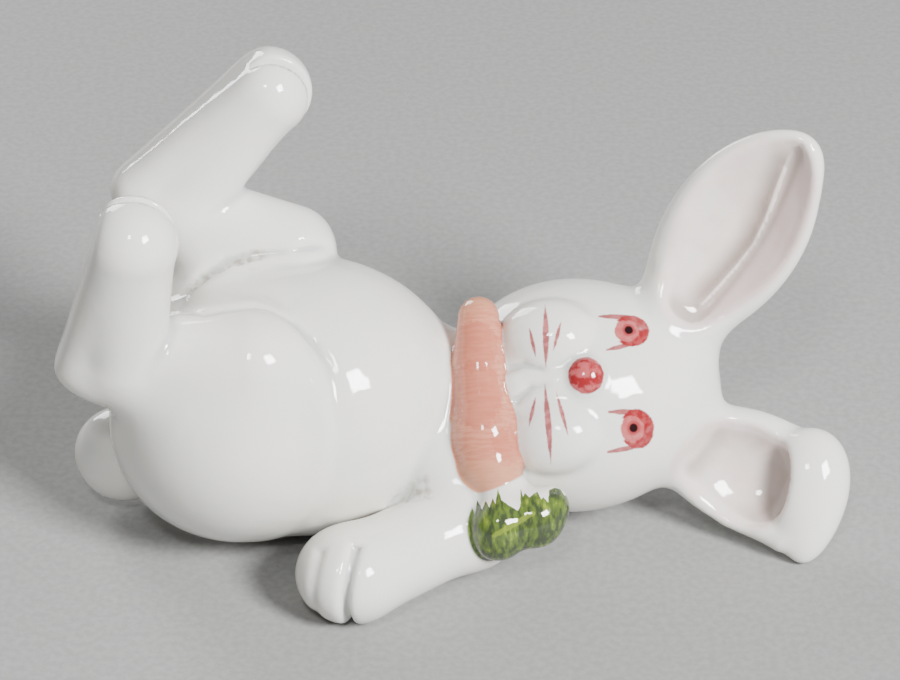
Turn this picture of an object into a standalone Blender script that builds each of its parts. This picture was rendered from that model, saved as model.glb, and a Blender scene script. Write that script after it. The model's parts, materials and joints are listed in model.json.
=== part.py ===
"""Glazed ceramic rabbit that lies on its back with its feet in the air and a carrot under its chin.

Run with: blender --background --python part.py
Handed over in metres, +Z up. The rabbit lies along X with its head at +X and its belly up.
"""

import math

import bpy
from mathutils import Euler, Matrix, Vector

# All sizes are in millimetres of the real figure.
TORSO_LENGTH = 90
TORSO_WIDTH = 76
TORSO_HEIGHT = 77
SEAT_DEPTH = 0.8
NECK_THICKNESS = 35
TAIL_LENGTH = 28
TAIL_WIDTH = 22.6

# The hind legs: the haunch, the shank back from the knee, and the foot up from the heel.
HAUNCH_LENGTH = 62
HAUNCH_WIDTH = 43
HAUNCH_HEIGHT = 68
HAUNCH_BULGE = 2
SHANK_LENGTH = 45
SHANK_THICKNESS = 25
FOOT_LENGTH = 64
FOOT_WIDTH = 24
FOOT_THICKNESS = 23
HEEL_THICKNESS = 16

# The forelegs.
ARM_LENGTH = 38
ARM_THICKNESS = 25
PAW_WIDTH = 28
PAW_HEIGHT = 24

# The grooves between the toes.
TOE_GROOVE_WIDTH = 2.2
TOE_GROOVE_DEPTH = 1.8
PAW_GROOVE_DEPTH = 1.4

# The head lies on its side, rolled from straight up towards the near side.
HEAD_LENGTH = 75
HEAD_WIDTH = 64
HEAD_DEPTH = 54
HEAD_ROLL = 48
HEAD_YAW = 4
HEAD_LIFT = 5.5
PAD_WIDTH = 26
PAD_DEPTH = 20.4
NOSE_WIDTH = 10

# The ears.
EAR_LENGTH = 70
EAR_WIDTH = 38
EAR_THICKNESS = 15
EAR_WALL = 3.2

# The carrot and its leaves.
CARROT_LENGTH = 54
CARROT_THICKNESS = 18
CARROT_TIP = 11.2
LEAVES_WIDTH = 24
LEAVES_DEPTH = 15.5

# The mesh is cut from a grid of this spacing and then thinned.
GRID = 1.4
KEPT_TRIANGLES = 9600

# What comes this near to the table is made flat.
SEAT_GAP = 0.15

GLAZE_WHITE = (0.86, 0.86, 0.84, 1)


def clear_scene():
    for obj in list(bpy.data.objects):
        bpy.data.objects.remove(obj)


class Clay:
    """Shapes in a geometry node tree, each a field of the distance to its surface, negative inside."""

    def __init__(self, name):
        self.tree = bpy.data.node_groups.new(name, "GeometryNodeTree")
        place = self.node("GeometryNodeInputPosition").outputs[0]
        self.point = self.vector("MULTIPLY", place, (1000, 1000, 1000))
        self.low = Vector((1e3, 1e3, 1e3))
        self.high = -self.low

    def node(self, kind, inputs=(), **settings):
        made = self.tree.nodes.new(kind)
        for setting, value in settings.items():
            setattr(made, setting, value)
        for socket, value in zip(made.inputs, inputs):
            if isinstance(value, bpy.types.NodeSocket):
                self.tree.links.new(value, socket)
            elif value is not None:
                socket.default_value = value
        return made

    def number(self, operation, *values):
        return self.node("ShaderNodeMath", values, operation=operation).outputs[0]

    def vector(self, operation, *values):
        made = self.node("ShaderNodeVectorMath", values, operation=operation)
        scalar = operation in ("LENGTH", "DOT_PRODUCT")
        return made.outputs["Value" if scalar else "Vector"]

    def seen_from(self, frame):
        """The point in a frame's own coordinates. The frame is a matrix with no scale."""
        place = self.node("FunctionNodeCombineTransform", (frame.to_translation(), frame.to_euler()))
        back = self.node("FunctionNodeInvertMatrix", (place.outputs[0],))
        return self.node("FunctionNodeTransformPoint", (self.point, back.outputs[0])).outputs[0]

    def reach(self, centre, radius):
        """Widens the box that the clay is cut from."""
        for i in range(3):
            self.low[i] = min(self.low[i], centre[i] - radius)
            self.high[i] = max(self.high[i], centre[i] + radius)

    def egg(self, frame, radii, taper=0.0, solid=True):
        """An ellipsoid about a frame's origin. A taper makes it narrower towards its own +Z."""
        point = self.seen_from(frame)
        if taper:
            parts = self.node("ShaderNodeSeparateXYZ", (point,))
            swell = self.number("MULTIPLY_ADD", parts.outputs[2], -taper / radii[2], 1)
            swell = self.number("MAXIMUM", swell, 0.2)
            x = self.number("DIVIDE", parts.outputs[0], swell)
            y = self.number("DIVIDE", parts.outputs[1], swell)
            point = self.node("ShaderNodeCombineXYZ", (x, y, parts.outputs[2])).outputs[0]
        once = self.vector("DIVIDE", point, tuple(radii))
        twice = self.vector("DIVIDE", once, tuple(radii))
        size = self.vector("LENGTH", once)
        slope = self.number("ADD", self.vector("LENGTH", twice), 1e-6)
        if solid:
            self.reach(frame.to_translation(), max(radii) * (1 + abs(taper)))
        gap = self.number("MULTIPLY", self.number("SUBTRACT", size, 1), self.number("ADD", size, 1e-5))
        return self.number("DIVIDE", gap, slope)

    def limb(self, start, end, start_radius, end_radius, side=(0, 1, 0), flat=1.0, solid=True):
        """A round bar from start to end. Flat is its width along side over its thickness."""
        frame = aimed(start, end, side)
        length = (Vector(end) - Vector(start)).length
        parts = self.node("ShaderNodeSeparateXYZ", (self.seen_from(frame),))
        y = self.number("DIVIDE", parts.outputs[1], flat)
        along = self.node("ShaderNodeMapRange", (parts.outputs[2], 0, length, 0, 1)).outputs[0]
        z = self.number("MULTIPLY_ADD", along, -length, parts.outputs[2])
        point = self.node("ShaderNodeCombineXYZ", (parts.outputs[0], y, z)).outputs[0]
        radius = self.number("MULTIPLY_ADD", along, end_radius - start_radius, start_radius)
        if solid:
            for centre, size in ((start, start_radius), (end, end_radius)):
                self.reach(centre, size * max(flat, 1))
        return self.number("SUBTRACT", self.vector("LENGTH", point), radius)

    def groove(self, frame, radius, width):
        """A slot cut inwards to a radius in a frame's XZ plane, on its +Z side."""
        parts = self.node("ShaderNodeSeparateXYZ", (self.seen_from(frame),))
        flat = self.node("ShaderNodeCombineXYZ", (parts.outputs[0], 0, parts.outputs[2])).outputs[0]
        floor = self.number("SUBTRACT", self.vector("LENGTH", flat), radius + width / 2)
        inward = self.number("MINIMUM", floor, 0)
        section = self.node("ShaderNodeCombineXYZ", (inward, parts.outputs[1], 0)).outputs[0]
        slot = self.number("SUBTRACT", self.vector("LENGTH", section), width / 2)
        return self.number("MAXIMUM", slot, self.number("MULTIPLY", parts.outputs[2], -1))

    def chain(self, points, thicknesses):
        """A bar that bends through a row of points."""
        radii = [thickness / 2 for thickness in thicknesses]
        links = zip(points, points[1:], radii, radii[1:])
        return self.melt(0.5, *[self.limb(a, b, r, s) for a, b, r, s in links])

    def melt(self, softness, *shapes):
        """Shapes joined, with a fillet about as wide as the softness between each and the next."""
        joined = shapes[0]
        for shape in shapes[1:]:
            joined = self.number("SMOOTH_MIN", joined, shape, softness)
        return joined

    def carve(self, softness, shape, *tools):
        for tool in tools:
            shape = self.number("SMOOTH_MAX", shape, self.number("MULTIPLY", tool, -1), softness)
        return shape


def aimed(start, end, side):
    """A frame at start whose Z runs to end and whose Y lies towards side."""
    z = (Vector(end) - Vector(start)).normalized()
    x = Vector(side).cross(z).normalized()
    y = z.cross(x)
    turned = Matrix((x, y, z)).transposed().to_4x4()
    return Matrix.Translation(Vector(start)) @ turned


def at(x, y, z, turn=(0, 0, 0)):
    """A frame at a place, turned by Euler angles in degrees."""
    angles = Euler([math.radians(a) for a in turn])
    return Matrix.Translation((x, y, z)) @ angles.to_matrix().to_4x4()


TORSO = Vector((-43.3, 0, TORSO_HEIGHT / 2 - SEAT_DEPTH))


def on_torso(x, y, z):
    """A point from the middle of the torso, in shares of half its length, width and height."""
    return TORSO + Vector((x * TORSO_LENGTH, y * TORSO_WIDTH, z * TORSO_HEIGHT)) / 2


def half_height_of_head():
    roll = math.radians(HEAD_ROLL)
    return math.hypot(HEAD_WIDTH / 2 * math.sin(roll), HEAD_DEPTH / 2 * math.cos(roll))


HEAD_PLACE = on_torso(1, 0.1, 0) + Vector((0.53 * HEAD_LENGTH, 0, 0))
HEAD_PLACE.z = half_height_of_head() + HEAD_LIFT
HEAD_FRAME = at(*HEAD_PLACE, (HEAD_ROLL, 0, 0)) @ at(0, 0, 0, (0, 0, HEAD_YAW))


def on_head(x, y, z, turn=(0, 0, 0)):
    """A frame on the head: x to the crown, y to its upper side, z out of the face, as half shares."""
    return HEAD_FRAME @ at(x * HEAD_LENGTH / 2, y * HEAD_WIDTH / 2, z * HEAD_DEPTH / 2, turn)


def head_point(x, y, z):
    return on_head(x, y, z).to_translation()


def trunk(clay):
    torso = clay.egg(at(*TORSO), (TORSO_LENGTH / 2, TORSO_WIDTH / 2, TORSO_HEIGHT / 2))
    nape = HEAD_PLACE - Vector((0.27 * HEAD_LENGTH, 2, 0))
    neck = clay.limb(on_torso(0.73, 0, 0), nape, NECK_THICKNESS / 2, NECK_THICKNESS / 2 + 1)
    round_tail = (TAIL_WIDTH / 2 + 2, TAIL_WIDTH / 2, TAIL_LENGTH / 2)
    tail = clay.egg(at(*on_torso(-1.1, 0, -0.53), (0, -6, 0)), round_tail)
    return clay.melt(4, clay.melt(8, torso, neck), tail)


def haunch(clay, side, middle):
    """The swell over the torso that ends in a crease, and the rump below it."""
    bulge = HAUNCH_BULGE / 2
    over = clay.egg(
        at(TORSO.x - bulge, TORSO.y + side * bulge, TORSO.z),
        (TORSO_LENGTH / 2 + bulge, TORSO_WIDTH / 2 + bulge, TORSO_HEIGHT / 2 + bulge),
    )
    long, wide, high = HAUNCH_LENGTH / 2, HAUNCH_WIDTH / 2, HAUNCH_HEIGHT / 2
    outline = clay.egg(at(*middle, (32 * side, 0, 0)), (long, 90, high), solid=False)
    edge = clay.number("SMOOTH_MAX", over, outline, 5)
    round_part = (long * 1.15, wide * 1.68, high * 1.05)
    ball = clay.egg(at(middle.x + 4.2, middle.y - side * 5.4, middle.z + 1.3), round_part)
    rump = clay.egg(at(middle.x, middle.y + side, middle.z - 1), (long, wide, high - 1))
    return clay.melt(6, clay.melt(4, edge, ball), rump)


def hind_foot(clay, side, heel, rise, front, across):
    """A foot whose flat sole is at its back, with a cleft beside the smaller, inner toe."""
    half = FOOT_THICKNESS / 2
    spread = FOOT_WIDTH / FOOT_THICKNESS
    toe = heel + rise * (FOOT_LENGTH - half - HEEL_THICKNESS / 2)
    body = clay.limb(heel, toe, HEEL_THICKNESS / 2, half, across, spread)
    ankle = heel + front * half * 0.78 + rise * half * 0.6
    instep = clay.limb(ankle, toe - rise * 2, half, half, across, spread)
    low = heel - front * (HEEL_THICKNESS / 2 - 0.9)
    high = toe - front * (half - 1.4)
    outward = (high - low).cross(across).normalized()
    beyond = clay.number("SUBTRACT", clay.vector("DOT_PRODUCT", clay.point, tuple(outward)), low.dot(outward))
    foot = clay.number("SMOOTH_MAX", clay.melt(3, body, instep), beyond, 3)
    middle = toe - across * side * half * 0.33
    leaning = aimed(middle - rise * 2, middle + front * 0.8, across)
    cleft = clay.groove(leaning, half - TOE_GROOVE_DEPTH, TOE_GROOVE_WIDTH)
    crest = middle + front * (half + 0.4)
    width = TOE_GROOVE_WIDTH / 2
    seam = clay.limb(crest - rise, crest - rise * 11 + front, width, width * 0.8, solid=False)
    return clay.carve(1.6, foot, cleft, seam)


def hind_leg(clay, side, knee, back, rise):
    """Knee is in half shares of the haunch, back is in shank lengths, and rise is the foot's way up."""
    middle = on_torso(-0.42, 0.37 * side, 0)
    half = Vector((HAUNCH_LENGTH, HAUNCH_WIDTH * side, HAUNCH_HEIGHT)) / 2
    knee = middle + Vector(a * b for a, b in zip(knee, half))
    heel = knee + Vector(back) * SHANK_LENGTH
    rise = Vector(rise).normalized()
    front = Vector((0, 1, 0)).cross(rise).normalized()
    across = rise.cross(front)
    thick = SHANK_THICKNESS / 2
    shank = clay.limb(knee, heel + front * 5, thick, thick * 0.8)
    belly = knee.lerp(heel, 0.42) - Vector((0, 0, thick * 0.72))
    calf = clay.limb(belly, heel + front * 8 + rise * 2, thick, thick * 0.8)
    leg = clay.melt(14, haunch(clay, side, middle), clay.melt(4, shank, calf))
    return clay.melt(5, leg, hind_foot(clay, side, heel, rise, front, across))


def arm(clay, side):
    """A foreleg that lies on the table, with three toes parted by two grooves."""
    thick = ARM_THICKNESS / 2
    wide = PAW_WIDTH / 2
    shoulder = on_torso(1.04, 0.73 * side, 0)
    shoulder.z = thick + 2.5
    paw = shoulder + Vector((-0.866, 0.5 * side, 0)) * ARM_LENGTH
    paw.z = thick
    sleeve = clay.limb(shoulder, paw + Vector((2.5, 0, 0)), thick - 0.9, thick + 0.3)
    hand = clay.egg(at(*paw), (wide, wide, PAW_HEIGHT / 2))
    chest = clay.limb(on_torso(0.9, 0.31 * side, -0.28), shoulder, 17, thick)
    whole = clay.melt(6, clay.melt(8, sleeve, chest), hand)
    out = Vector((-0.3, side, -0.25)).normalized()
    cuts = []
    for shift in (-0.45, 0.26):
        length = math.sqrt(1 - shift ** 2) * wide
        middle = paw + Vector((shift * wide, 0, 0)) + out * 0.8
        turned = aimed(middle, middle + out, (1, 0.3 * side, 0))
        cuts.append(clay.groove(turned, length - 0.8 - PAW_GROOVE_DEPTH, TOE_GROOVE_WIDTH))
    return clay.carve(3.2, whole, *cuts)


def head(clay):
    """The skull with its two muzzle pads, the bridge between them and the nose."""
    skull_radii = (HEAD_DEPTH / 2, HEAD_WIDTH / 2, HEAD_LENGTH / 2)
    skull = clay.egg(on_head(-0.173, 0, 0, (0, 90, 0)), skull_radii, 0.096)
    pad_radii = (PAD_WIDTH / 2 + 0.8, PAD_WIDTH / 2 - 1.8, PAD_DEPTH / 2)
    pads = [clay.egg(on_head(-0.425, y, 0.69, (0, -8, 0)), pad_radii) for y in (0.42, -0.37)]
    face = clay.melt(2.4, skull, clay.melt(2.0, *pads))
    bridge = clay.limb(head_point(-0.27, 0.065, 0.85), head_point(-0.68, 0.07, 0.77), 3.4, 4.4)
    nose = clay.egg(on_head(-0.194, 0.066, 0.993), (NOSE_WIDTH / 2, NOSE_WIDTH / 2, NOSE_WIDTH * 0.3))
    return clay.melt(1.6, clay.melt(3, face, bridge), nose)


def upright_ear(clay):
    """An ear whose bowl has two slopes that meet in a valley."""
    root = head_point(0.48, 0.5, 0.148)
    rise = Vector((0.486, 0.106, 0.867)).normalized()
    middle = aimed(root + rise * 8, root + rise * 9, (0, -0.82, 0.57)) @ at(0, 0, 0.355 * EAR_LENGTH)
    wide, long = EAR_WIDTH / 2, 0.46 * EAR_LENGTH
    blade = clay.egg(middle, (wide, EAR_THICKNESS / 2, long))
    point = clay.egg(middle @ at(-2, 0, 0.67 * long, (0, -7, 0)), (wide / 2, 5, 0.42 * long))
    stem = clay.limb(root, root + rise * 14, 12.5, 10.5, (1, 0, 0), 1.2)
    floor = EAR_WALL - EAR_THICKNESS / 2
    left = clay.egg(middle @ at(-14.5, 59.8 + floor, 5), (60, 60, 90), solid=False)
    right = clay.egg(middle @ at(25.6, 51.3 + floor, 2), (60, 60, 60), solid=False)
    rim = clay.egg(middle @ at(0, 0, 4.7), (wide - 2.2, 60, 0.88 * long), solid=False)
    bowl = clay.number("SMOOTH_MAX", clay.number("SMOOTH_MAX", left, right, 0.6), rim, 4)
    whole = clay.carve(1.5, clay.melt(6, clay.melt(7, blade, point), stem), bowl)
    return whole


def folded_ear(clay):
    """The other ear lies out from the crown, with its tip folded over towards the face."""
    root = head_point(0.533, -0.469, 0.037)
    lie = aimed(root, root + Vector((17, -4, -4.5)), (0, -0.82, 0.57))
    long, wide, thick = 0.357 * EAR_LENGTH, 0.43 * EAR_WIDTH, 0.4 * EAR_THICKNESS
    blade = clay.egg(lie @ at(-1.6, -1, 0.296 * EAR_LENGTH), (wide, thick + 0.5, long))
    stem = clay.limb(root, lie @ Vector((0, 0, 15)), 9.5, 8, (0, 0.57, 0.82), 1.3)
    fold_frame = lie @ at(-2.8, 2.9, 0.52 * EAR_LENGTH, (0, -77, 0))
    fold = clay.egg(fold_frame, (0.28 * EAR_WIDTH, thick + 1.5, 0.265 * EAR_LENGTH), 0.2)
    rim = clay.limb(lie @ Vector((-14.4, -0.7, 18.7)), lie @ Vector((-16.4, 2.5, 33)), 2.8, 3.4)
    hollow = (wide - 1.6, thick + 2.5, 0.243 * EAR_LENGTH)
    cup = clay.egg(lie @ at(-4, thick + 0.5, 0.22 * EAR_LENGTH, (14, 0, 0)), hollow, solid=False)
    whole = clay.melt(5, clay.melt(8, blade, stem), fold, rim)
    return clay.carve(3, whole, cup)


def carrot_end():
    return head_point(-0.92, -0.578, 0.704)


def carrot(clay):
    """A carrot that lies across the throat, bowed a little to the left and outwards."""
    low = carrot_end()
    reach = CARROT_LENGTH - CARROT_THICKNESS / 2 - CARROT_TIP / 2
    axes = HEAD_FRAME.to_3x3()
    high = low + axes @ Vector((0, reach, 0))
    bow = axes @ Vector((-1.2, 0, 1.2))
    shares = (0, 0.33, 0.67, 1)
    points = [high.lerp(low, share) + bow * math.sin(math.pi * share) for share in shares]
    swell = CARROT_THICKNESS - CARROT_TIP
    bar = clay.chain(points, [CARROT_TIP + swell * share ** 0.8 for share in shares])
    thick = CARROT_THICKNESS / 2
    middle = Matrix.Translation(high.lerp(low, 0.8) + bow * 0.6) @ axes.to_4x4()
    return clay.melt(2, bar, clay.egg(middle, (thick + 0.4, thick * 1.3, thick + 0.4)))


def leaves(clay):
    """A lump of leaves in two lobes below the thick end of the carrot."""
    low = carrot_end()
    crown = low + Vector((7.3, -12.2, -11.4))
    half, deep = LEAVES_WIDTH / 2, LEAVES_DEPTH / 2
    apart = Vector((0.4 * half, 1.3, 0.8))
    left = clay.egg(at(*(crown - apart)), (half * 0.66, deep, deep * 1.16))
    right = clay.egg(at(*(crown + apart)), (half * 0.68, deep, deep * 1.06))
    corner = clay.egg(at(*(crown + Vector((9, 3.1, 3.4)))), (5.2, 6, 5.6))
    stem = clay.limb(low + Vector((0.7, -1, -4)), crown + Vector((0, 3.3, 0.8)), 7.5, 7)
    return clay.melt(5, left, clay.melt(3, right, corner), stem)


def figure(clay):
    near = hind_leg(clay, -1, (0.26, 0.37, 0.79), (-1.004, 0.044, -0.024), (0.36, -0.13, 0.924))
    far = hind_leg(clay, 1, (0.53, 0.23, 1.02), (-0.886, 0.067, 0.418), (0.79, 0.12, 0.6))
    body = clay.melt(2.5, trunk(clay), near, far)
    body = clay.melt(6, body, arm(clay, -1), arm(clay, 1))
    skull = clay.melt(6, head(clay), upright_ear(clay), folded_ear(clay))
    whole = clay.melt(4, body, skull)
    whole = clay.melt(1.5, whole, carrot(clay), leaves(clay))
    height = clay.node("ShaderNodeSeparateXYZ", (clay.point,)).outputs[2]
    return clay.carve(1.0, whole, height)


def settle(clay, geometry):
    """The skin with its box over the origin, and flat where it stands."""
    box = clay.node("GeometryNodeBoundBox", (geometry,))
    both = clay.vector("ADD", box.outputs["Min"], box.outputs["Max"])
    shift = clay.vector("MULTIPLY", both, (-0.5, -0.5, 0))
    place = clay.node("GeometryNodeInputPosition").outputs[0]
    flat = clay.vector("MULTIPLY", place, (1, 1, 0))
    height = clay.node("ShaderNodeSeparateXYZ", (place,)).outputs[2]
    near = clay.node("FunctionNodeCompare", (height, SEAT_GAP / 1000), operation="LESS_THAN").outputs[0]
    geometry = clay.node("GeometryNodeSetPosition", (geometry, near, flat)).outputs[0]
    return clay.node("GeometryNodeSetPosition", (geometry, None, None, shift)).outputs[0]


def build_tree(grid):
    clay = Clay("rabbit_clay")
    tree = clay.tree
    tree.interface.new_socket("Geometry", in_out="OUTPUT", socket_type="NodeSocketGeometry")
    depth = clay.number("MULTIPLY", figure(clay), -0.001)
    low = (clay.low - Vector((2 * grid,) * 3)) / 1000
    high = (clay.high + Vector((2 * grid,) * 3)) / 1000
    low.z = -2 * grid / 1000
    counts = [round((high[i] - low[i]) / grid * 1000) for i in range(3)]
    block = clay.node("GeometryNodeVolumeCube", (depth, -1.0, low, high, *counts))
    skin = clay.node("GeometryNodeVolumeToMesh", (block.outputs[0],))
    skin.inputs["Threshold"].default_value = 0
    geometry = skin.outputs[0]
    outward = clay.node("GeometryNodeInputNormal").outputs[0]
    for _ in range(3):
        offset = clay.node("ShaderNodeVectorMath", (outward,), operation="SCALE")
        tree.links.new(depth, offset.inputs["Scale"])
        moved = clay.node("GeometryNodeSetPosition", (geometry,))
        tree.links.new(offset.outputs[0], moved.inputs["Offset"])
        geometry = moved.outputs[0]
    smooth = clay.node("GeometryNodeSetShadeSmooth", (settle(clay, geometry),))
    clay.node("NodeGroupOutput", (smooth.outputs[0],))
    return tree


def material(name, colour, roughness):
    made = bpy.data.materials.new(name)
    made.use_nodes = True
    shader = made.node_tree.nodes["Principled BSDF"]
    shader.inputs["Base Color"].default_value = colour
    shader.inputs["Roughness"].default_value = roughness
    return made


def main(grid=GRID, triangles=KEPT_TRIANGLES):
    clear_scene()
    mesh = bpy.data.meshes.new("rabbit")
    rabbit = bpy.data.objects.new("rabbit", mesh)
    collection = bpy.data.collections.new("rabbit_figurine")
    bpy.context.scene.collection.children.link(collection)
    collection.objects.link(rabbit)
    mesh.materials.append(material("white_glaze", GLAZE_WHITE, 0.1))
    casting = rabbit.modifiers.new("casting", "NODES")
    casting.node_group = build_tree(grid)
    if triangles:
        graph = bpy.context.evaluated_depsgraph_get()
        full = len(rabbit.evaluated_get(graph).data.polygons) * 2
        facets = rabbit.modifiers.new("facets", "DECIMATE")
        facets.ratio = triangles / full
    return rabbit


if __name__ == "__main__":
    main()
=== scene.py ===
import json
import math

import bpy
from mathutils import Euler, Matrix, Vector

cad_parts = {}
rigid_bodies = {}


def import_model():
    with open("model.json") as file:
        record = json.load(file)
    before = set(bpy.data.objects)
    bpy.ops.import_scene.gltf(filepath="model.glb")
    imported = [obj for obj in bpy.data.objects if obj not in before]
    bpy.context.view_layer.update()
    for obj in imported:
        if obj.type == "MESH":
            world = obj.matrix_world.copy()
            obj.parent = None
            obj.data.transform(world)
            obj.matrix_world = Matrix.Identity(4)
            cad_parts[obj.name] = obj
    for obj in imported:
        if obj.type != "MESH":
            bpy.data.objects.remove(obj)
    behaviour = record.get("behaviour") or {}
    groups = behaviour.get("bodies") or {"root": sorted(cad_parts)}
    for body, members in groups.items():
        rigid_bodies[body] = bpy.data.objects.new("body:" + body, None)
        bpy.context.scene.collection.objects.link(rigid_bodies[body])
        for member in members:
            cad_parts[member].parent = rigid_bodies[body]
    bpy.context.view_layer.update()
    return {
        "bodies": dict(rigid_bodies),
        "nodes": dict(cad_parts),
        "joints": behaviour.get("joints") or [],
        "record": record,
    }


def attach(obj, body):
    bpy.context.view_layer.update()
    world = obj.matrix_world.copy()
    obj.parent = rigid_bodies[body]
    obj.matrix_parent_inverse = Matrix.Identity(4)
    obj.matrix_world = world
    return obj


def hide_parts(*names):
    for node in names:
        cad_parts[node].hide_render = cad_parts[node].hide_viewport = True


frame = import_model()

# The trunk
# The body is an egg of white earthenware slip, cast hollow with its neck and tail. It lies on its
# back, which was cut flat and ground where it stands.

TORSO_LENGTH = 90
TORSO_WIDTH = 76
TORSO_HEIGHT = 77
SEAT_DEPTH = 0.8
NECK_THICKNESS = 35
TAIL_LENGTH = 28
TAIL_WIDTH = 22.6
TORSO = Vector((-43.3, 0, TORSO_HEIGHT / 2 - SEAT_DEPTH))
HEAD_LENGTH = 75
HEAD_WIDTH = 64
HEAD_DEPTH = 54
HEAD_ROLL = 48
HEAD_YAW = 4
HEAD_LIFT = 5.5


class Nodes:
    """Makes the nodes of one tree: a socket goes in and a socket comes out."""

    def __init__(self, tree):
        self.tree = tree

    def node(self, kind, inputs=(), **settings):
        made = self.tree.nodes.new(kind)
        for setting, value in settings.items():
            setattr(made, setting, value)
        for socket, value in zip(made.inputs, inputs):
            self.feed(socket, value)
        return made

    def feed(self, socket, value):
        if isinstance(value, bpy.types.NodeSocket):
            self.tree.links.new(value, socket)
        elif value is not None:
            socket.default_value = value

    def number(self, operation, *values):
        return self.node("ShaderNodeMath", values, operation=operation).outputs[0]

    def vector(self, operation, *values):
        made = self.node("ShaderNodeVectorMath", values, operation=operation)
        scalar = operation in ("LENGTH", "DOT_PRODUCT")
        return made.outputs["Value" if scalar else "Vector"]

    def scaled(self, vector, factor):
        made = self.node("ShaderNodeVectorMath", (vector,), operation="SCALE")
        self.feed(made.inputs["Scale"], factor)
        return made.outputs["Vector"]

    def split(self, vector):
        return self.node("ShaderNodeSeparateXYZ", (vector,)).outputs

    def joined(self, x, y, z):
        return self.node("ShaderNodeCombineXYZ", (x, y, z)).outputs[0]

    def between(self, value, low, high, at_low=0.0, at_high=1.0, kind="SMOOTHSTEP"):
        span = (value, low, high, at_low, at_high)
        return self.node("ShaderNodeMapRange", span, interpolation_type=kind).outputs[0]

    def socket(self, name, kind, value=None, way="INPUT"):
        made = self.tree.interface.new_socket(name, in_out=way, socket_type="NodeSocket" + kind)
        if value is not None:
            made.default_value = value
        return made


class Clay(Nodes):
    """Shapes as fields of the distance to their surface in millimetres, negative inside."""

    def __init__(self, name):
        super().__init__(bpy.data.node_groups.new(name, "GeometryNodeTree"))
        self.sizes = self.node("NodeGroupInput")
        place = self.node("GeometryNodeInputPosition").outputs[0]
        self.point = self.vector("MULTIPLY", place, (1000, 1000, 1000))
        self.low = Vector((1e3, 1e3, 1e3))
        self.high = -self.low

    def size(self, name, value):
        """A named input of the tree."""
        self.socket(name, "Float", value)
        return self.sizes.outputs[name]

    def seen_from(self, frame):
        place = self.node("FunctionNodeCombineTransform", (frame.to_translation(), frame.to_euler()))
        back = self.node("FunctionNodeInvertMatrix", (place.outputs[0],))
        return self.node("FunctionNodeTransformPoint", (self.point, back.outputs[0])).outputs[0]

    def reach(self, centre, radius):
        """Widens the box that the clay is cut from."""
        for i in range(3):
            self.low[i] = min(self.low[i], centre[i] - radius)
            self.high[i] = max(self.high[i], centre[i] + radius)

    def egg(self, frame, radii, taper=0.0, solid=True):
        """An ellipsoid about a frame's origin. A taper makes it narrower towards its own +Z."""
        point = self.seen_from(frame)
        if taper:
            x, y, z = self.split(point)
            swell = self.number("MULTIPLY_ADD", z, -taper / radii[2], 1)
            swell = self.number("MAXIMUM", swell, 0.2)
            point = self.joined(self.number("DIVIDE", x, swell), self.number("DIVIDE", y, swell), z)
        once = self.vector("DIVIDE", point, tuple(radii))
        twice = self.vector("DIVIDE", once, tuple(radii))
        size = self.vector("LENGTH", once)
        slope = self.number("ADD", self.vector("LENGTH", twice), 1e-6)
        if solid:
            self.reach(frame.to_translation(), max(radii) * (1 + abs(taper)))
        gap = self.number("MULTIPLY", self.number("SUBTRACT", size, 1), self.number("ADD", size, 1e-5))
        return self.number("DIVIDE", gap, slope)

    def limb(self, start, end, start_radius, end_radius, side=(0, 1, 0), flat=1.0, solid=True):
        """A round bar from start to end. Flat is its width along side over its thickness."""
        length = (Vector(end) - Vector(start)).length
        x, y, z = self.split(self.seen_from(aimed(start, end, side)))
        y = self.number("DIVIDE", y, flat)
        along = self.between(z, 0, length, kind="LINEAR")
        z = self.number("MULTIPLY_ADD", along, -length, z)
        radius = self.number("MULTIPLY_ADD", along, end_radius - start_radius, start_radius)
        if solid:
            for centre, size in ((start, start_radius), (end, end_radius)):
                self.reach(centre, size * max(flat, 1))
        return self.number("SUBTRACT", self.vector("LENGTH", self.joined(x, y, z)), radius)

    def groove(self, frame, radius, width):
        """A slot cut inwards to a radius in a frame's XZ plane, on its +Z side."""
        x, y, z = self.split(self.seen_from(frame))
        out = self.vector("LENGTH", self.joined(x, 0, z))
        inward = self.number("MINIMUM", self.number("SUBTRACT", out, radius + width / 2), 0)
        slot = self.number("SUBTRACT", self.vector("LENGTH", self.joined(inward, y, 0)), width / 2)
        return self.number("MAXIMUM", slot, self.number("MULTIPLY", z, -1))

    def chain(self, points, thicknesses, solid=True):
        """A bar that bends through a row of points."""
        radii = [thickness / 2 for thickness in thicknesses]
        links = zip(points, points[1:], radii, radii[1:])
        return self.melt(0.5, *[self.limb(a, b, r, s, solid=solid) for a, b, r, s in links])

    def melt(self, softness, *shapes):
        """Shapes joined, with a fillet about as wide as the softness between each and the next."""
        joined = shapes[0]
        for shape in shapes[1:]:
            joined = self.number("SMOOTH_MIN", joined, shape, softness)
        return joined

    def carve(self, softness, shape, *tools):
        for tool in tools:
            shape = self.number("SMOOTH_MAX", shape, self.number("MULTIPLY", tool, -1), softness)
        return shape


def aimed(start, end, side):
    """A frame at start whose Z runs to end and whose Y lies towards side."""
    z = (Vector(end) - Vector(start)).normalized()
    x = Vector(side).cross(z).normalized()
    turned = Matrix((x, z.cross(x), z)).transposed().to_4x4()
    return Matrix.Translation(Vector(start)) @ turned


def at(x, y, z, turn=(0, 0, 0)):
    """A frame at a place, turned by Euler angles in degrees."""
    angles = Euler([math.radians(a) for a in turn])
    return Matrix.Translation((x, y, z)) @ angles.to_matrix().to_4x4()


def on_torso(x, y, z):
    """A point from the middle of the torso, in shares of half its length, width and height."""
    return TORSO + Vector((x * TORSO_LENGTH, y * TORSO_WIDTH, z * TORSO_HEIGHT)) / 2


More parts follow.
